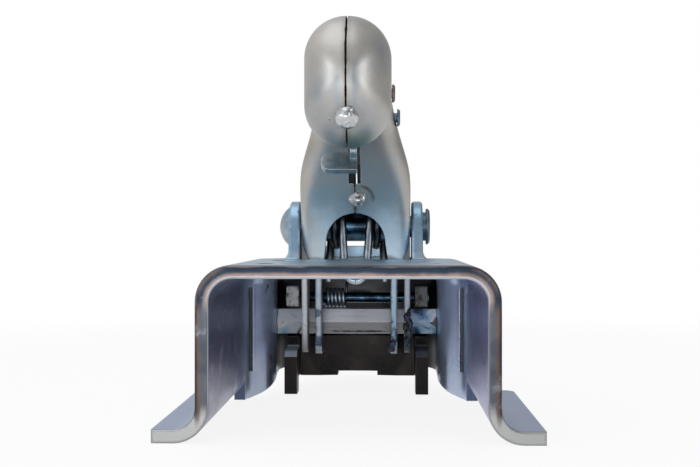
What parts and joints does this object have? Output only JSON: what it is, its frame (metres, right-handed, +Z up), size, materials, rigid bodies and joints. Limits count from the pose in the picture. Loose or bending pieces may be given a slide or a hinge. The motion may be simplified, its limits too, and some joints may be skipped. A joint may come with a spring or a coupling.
{
  "type": "trailer coupling head",
  "caption": "Pressed steel trailer coupling head with a flanged channel, a ball socket at the nose, a hinged locking handle with trigger, and a clasp that closes behind the ball.",
  "frame": {"origin": "centre of the towing ball in the socket", "axes": "+Y forward to the towing vehicle along the drawbar, +Z up, +X to the right seen from the trailer"},
  "size_m": [0.17, 0.2529, 0.1843],
  "materials": {
    "zinc_sheet": "zinc plated, blue passivated",
    "handle_sheet": "zinc plated, satin",
    "plated_pins": "zinc plated",
    "lock_steel": "zinc plated, greased",
    "spring_steel": "zinc plated wire",
    "weld_metal": "bare weld",
    "bar_steel": "bright, greased",
    "clasp_iron": "dark, oiled"
  },
  "bodies": {
    "housing": {"housing": "zinc_sheet", "clasp_bar": "bar_steel", "handle_rivet": "plated_pins", "handle_spring": "spring_steel"},
    "handle": {"handle_shell_left": "handle_sheet", "handle_shell_right": "handle_sheet", "seam_weld_upper": "weld_metal", "seam_weld_lower": "weld_metal", "pivot_sleeve": "plated_pins", "lock_plate_left": "lock_steel", "lock_plate_right": "lock_steel", "plate_rivet_left": "plated_pins", "plate_rivet_right": "plated_pins", "grip_rivet": "plated_pins", "trigger_pin": "plated_pins"},
    "trigger": {"trigger": "lock_steel", "trigger_spring": "spring_steel"},
    "clasp": {"ball_clasp": "clasp_iron", "clasp_pin": "plated_pins", "clasp_spring": "spring_steel", "clasp_clip_left": "plated_pins", "clasp_clip_right": "plated_pins"}
  },
  "joints": [
    {"name": "handle_pivot", "type": "hinge", "parent": "housing", "child": "handle", "pos_m": [0, -0.058, 0.0655], "axis": [-1, 0, 0], "range_deg": [0, 40], "stiffness_Nm_per_rad": 2, "springref_deg": -28.65, "deforming": ["handle_spring"]},
    {"name": "trigger_pivot", "type": "hinge", "parent": "handle", "child": "trigger", "pos_m": [0, -0.098, 0.122], "axis": [-1, 0, 0], "range_deg": [0, 14], "stiffness_Nm_per_rad": 0.3, "springref_deg": -17.19, "deforming": ["trigger_spring"]},
    {"name": "clasp_pivot", "type": "hinge", "parent": "housing", "child": "clasp", "pos_m": [0, -0.043, 0.0115], "axis": [-1, 0, 0], "range_deg": [0, 18], "deforming": ["clasp_spring"]}
  ],
  "couplings": [
    {"joint": "clasp_pivot", "follows": "handle_pivot", "ratio": 0.45}
  ]
}
